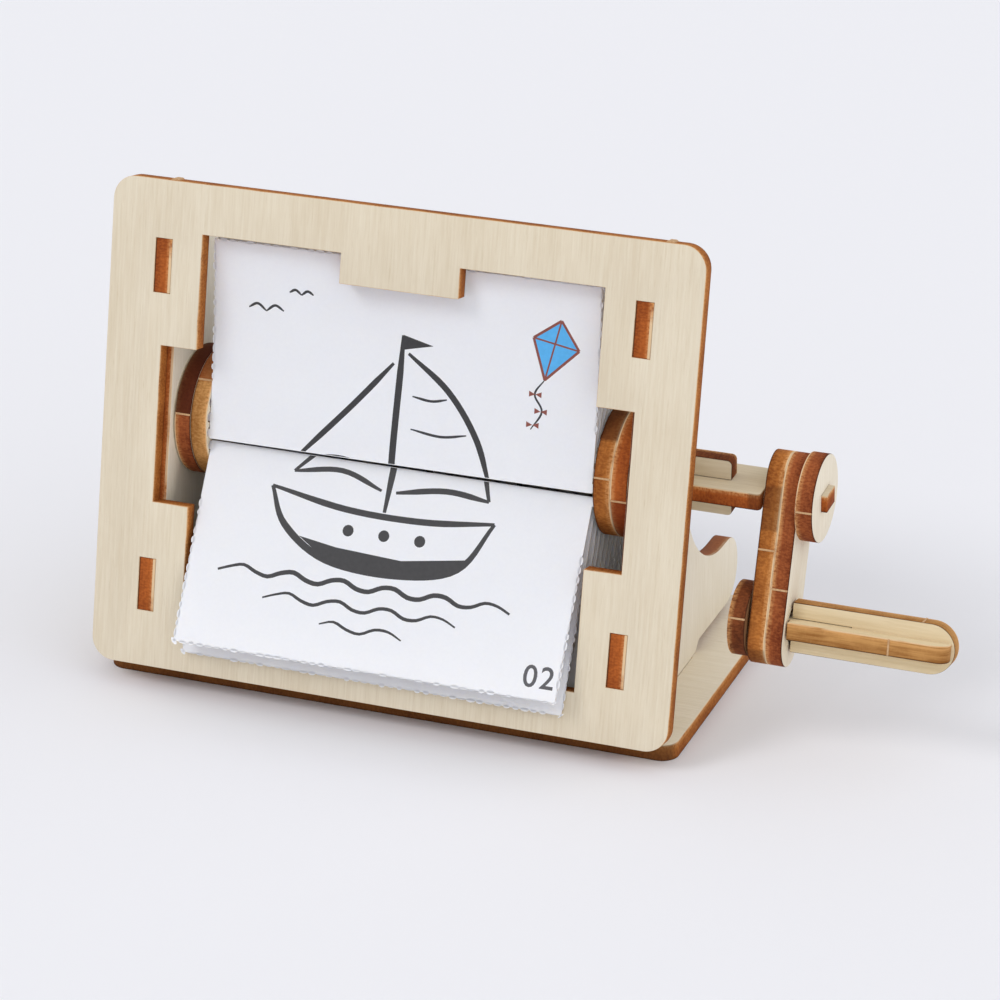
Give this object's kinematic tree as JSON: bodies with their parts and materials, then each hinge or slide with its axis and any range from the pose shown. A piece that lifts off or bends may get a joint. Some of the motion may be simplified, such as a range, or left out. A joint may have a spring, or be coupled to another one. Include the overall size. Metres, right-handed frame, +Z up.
{
  "type": "hand cranked flip-card animation viewer",
  "caption": "Laser-cut plywood viewer with a leaning window frame, a hand crank and a drum of hinged paper cards that flip past the window.",
  "frame": {"origin": "centre of the base plate's underside", "axes": "+X along the axle towards the crank, +Y to the rear, +Z up"},
  "size_m": [0.1488, 0.0691, 0.0868],
  "materials": {
    "basswood_ply_frame": "matt",
    "basswood_ply": "matt",
    "card_paper": "matt"
  },
  "bodies": {
    "housing": {"base_plate": "basswood_ply", "front_frame": "basswood_ply_frame", "side_plate_left": "basswood_ply", "side_plate_right": "basswood_ply"},
    "drum_and_crank": {"axle_strip_long": "basswood_ply", "axle_strip_short": "basswood_ply", "drum_disc_left_outer": "basswood_ply", "drum_disc_left_inner": "basswood_ply", "drum_disc_right_inner": "basswood_ply", "drum_disc_right_outer": "basswood_ply", "crank_arm_inner": "basswood_ply", "crank_arm_outer": "basswood_ply", "crank_cap": "basswood_ply"},
    "handle": {"handle_strip_neck": "basswood_ply", "handle_strip_slotted": "basswood_ply", "handle_keeper": "basswood_ply"},
    "flap_00": {"card_00": "card_paper"},
    "flap_01": {"card_01": "card_paper"},
    "flap_02": {"card_02": "card_paper"},
    "flap_03": {"card_03": "card_paper"},
    "flap_04": {"card_04": "card_paper"},
    "flap_05": {"card_05": "card_paper"},
    "flap_06": {"card_06": "card_paper"},
    "flap_07": {"card_07": "card_paper"},
    "flap_08": {"card_08": "card_paper"},
    "flap_09": {"card_09": "card_paper"},
    "flap_10": {"card_10": "card_paper"},
    "flap_11": {"card_11": "card_paper"},
    "flap_12": {"card_12": "card_paper"},
    "flap_13": {"card_13": "card_paper"},
    "flap_14": {"card_14": "card_paper"},
    "flap_15": {"card_15": "card_paper"},
    "flap_16": {"card_16": "card_paper"},
    "flap_17": {"card_17": "card_paper"},
    "flap_18": {"card_18": "card_paper"},
    "flap_19": {"card_19": "card_paper"},
    "flap_20": {"card_20": "card_paper"},
    "flap_21": {"card_21": "card_paper"},
    "flap_22": {"card_22": "card_paper"},
    "flap_23": {"card_23": "card_paper"}
  },
  "joints": [
    {"name": "crank", "type": "hinge", "parent": "housing", "child": "drum_and_crank", "pos_m": [0, -0.01134, 0.0434], "axis": [1, 0, 0], "continuous": true, "deforming": ["card_00", "card_01", "card_02", "card_03", "card_04", "card_05", "card_06", "card_07", "card_08", "card_09", "card_10", "card_11", "card_12", "card_13", "card_14", "card_15", "card_16", "card_17", "card_18", "card_19", "card_20", "card_21", "card_22", "card_23"]},
    {"name": "handle_spin", "type": "hinge", "parent": "drum_and_crank", "child": "handle", "pos_m": [0.082, -0.01816, 0.02302], "axis": [1, 0, 0], "continuous": true},
    {"name": "flap_00_swing", "type": "hinge", "parent": "drum_and_crank", "child": "flap_00", "pos_m": [0, -0.02144, 0.04349], "axis": [1, 0, 0], "range_deg": [0, 158.5]},
    {"name": "flap_01_swing", "type": "hinge", "parent": "drum_and_crank", "child": "flap_01", "pos_m": [0, -0.02078, 0.04605], "axis": [1, 0, 0], "range_deg": [0, 1.4]},
    {"name": "flap_02_swing", "type": "hinge", "parent": "drum_and_crank", "child": "flap_02", "pos_m": [0, -0.01987, 0.04843], "axis": [1, 0, 0], "range_deg": [0, 12]},
    {"name": "flap_03_swing", "type": "hinge", "parent": "drum_and_crank", "child": "flap_03", "pos_m": [0, -0.01828, 0.05047], "axis": [1, 0, 0], "range_deg": [0, 12]},
    {"name": "flap_04_swing", "type": "hinge", "parent": "drum_and_crank", "child": "flap_04", "pos_m": [0, -0.01621, 0.05202], "axis": [1, 0, 0], "range_deg": [0, 12]},
    {"name": "flap_05_swing", "type": "hinge", "parent": "drum_and_crank", "child": "flap_05", "pos_m": [0, -0.01382, 0.05299], "axis": [1, 0, 0], "range_deg": [0, 12]},
    {"name": "flap_06_swing", "type": "hinge", "parent": "drum_and_crank", "child": "flap_06", "pos_m": [0, -0.01125, 0.0533], "axis": [1, 0, 0], "range_deg": [0, 12]},
    {"name": "flap_07_swing", "type": "hinge", "parent": "drum_and_crank", "child": "flap_07", "pos_m": [0, -0.00869, 0.05294], "axis": [1, 0, 0], "range_deg": [0, 12]},
    {"name": "flap_08_swing", "type": "hinge", "parent": "drum_and_crank", "child": "flap_08", "pos_m": [0, -0.00632, 0.05193], "axis": [1, 0, 0], "range_deg": [0, 12]},
    {"name": "flap_09_swing", "type": "hinge", "parent": "drum_and_crank", "child": "flap_09", "pos_m": [0, -0.00428, 0.05034], "axis": [1, 0, 0], "range_deg": [0, 12]},
    {"name": "flap_10_swing", "type": "hinge", "parent": "drum_and_crank", "child": "flap_10", "pos_m": [0, -0.00272, 0.04828], "axis": [1, 0, 0], "range_deg": [0, 12]},
    {"name": "flap_11_swing", "type": "hinge", "parent": "drum_and_crank", "child": "flap_11", "pos_m": [0, -0.00176, 0.04588], "axis": [1, 0, 0], "range_deg": [0, 12]},
    {"name": "flap_12_swing", "type": "hinge", "parent": "drum_and_crank", "child": "flap_12", "pos_m": [0, -0.00144, 0.04332], "axis": [1, 0, 0], "range_deg": [0, 12]},
    {"name": "flap_13_swing", "type": "hinge", "parent": "drum_and_crank", "child": "flap_13", "pos_m": [0, -0.0018, 0.04076], "axis": [1, 0, 0], "range_deg": [-1.2, 0.2]},
    {"name": "flap_14_swing", "type": "hinge", "parent": "drum_and_crank", "child": "flap_14", "pos_m": [0, -0.00281, 0.03838], "axis": [1, 0, 0], "range_deg": [-10, 1.2]},
    {"name": "flap_15_swing", "type": "hinge", "parent": "drum_and_crank", "child": "flap_15", "pos_m": [0, -0.0044, 0.03634], "axis": [1, 0, 0], "range_deg": [-7.5, 0]},
    {"name": "flap_16_swing", "type": "hinge", "parent": "drum_and_crank", "child": "flap_16", "pos_m": [0, -0.00646, 0.03479], "axis": [1, 0, 0], "range_deg": [-6, 0]},
    {"name": "flap_17_swing", "type": "hinge", "parent": "drum_and_crank", "child": "flap_17", "pos_m": [0, -0.00886, 0.03382], "axis": [1, 0, 0], "range_deg": [-3, 0]},
    {"name": "flap_18_swing", "type": "hinge", "parent": "drum_and_crank", "child": "flap_18", "pos_m": [0, -0.01143, 0.03351], "axis": [1, 0, 0], "range_deg": [-2.2, 0]},
    {"name": "flap_19_swing", "type": "hinge", "parent": "drum_and_crank", "child": "flap_19", "pos_m": [0, -0.01398, 0.03386], "axis": [1, 0, 0], "range_deg": [-1.6, 0]},
    {"name": "flap_20_swing", "type": "hinge", "parent": "drum_and_crank", "child": "flap_20", "pos_m": [0, -0.01636, 0.03487], "axis": [1, 0, 0], "range_deg": [-0.8, 0]},
    {"name": "flap_21_swing", "type": "hinge", "parent": "drum_and_crank", "child": "flap_21", "pos_m": [0, -0.0184, 0.03646], "axis": [1, 0, 0], "range_deg": [-0.2, 0]},
    {"name": "flap_22_swing", "type": "hinge", "parent": "drum_and_crank", "child": "flap_22", "pos_m": [0, -0.01996, 0.03853], "axis": [1, 0, 0], "range_deg": [-3.5, 0]},
    {"name": "flap_23_swing", "type": "hinge", "parent": "drum_and_crank", "child": "flap_23", "pos_m": [0, -0.02092, 0.04093], "axis": [1, 0, 0], "range_deg": [-120, 0]}
  ]
}
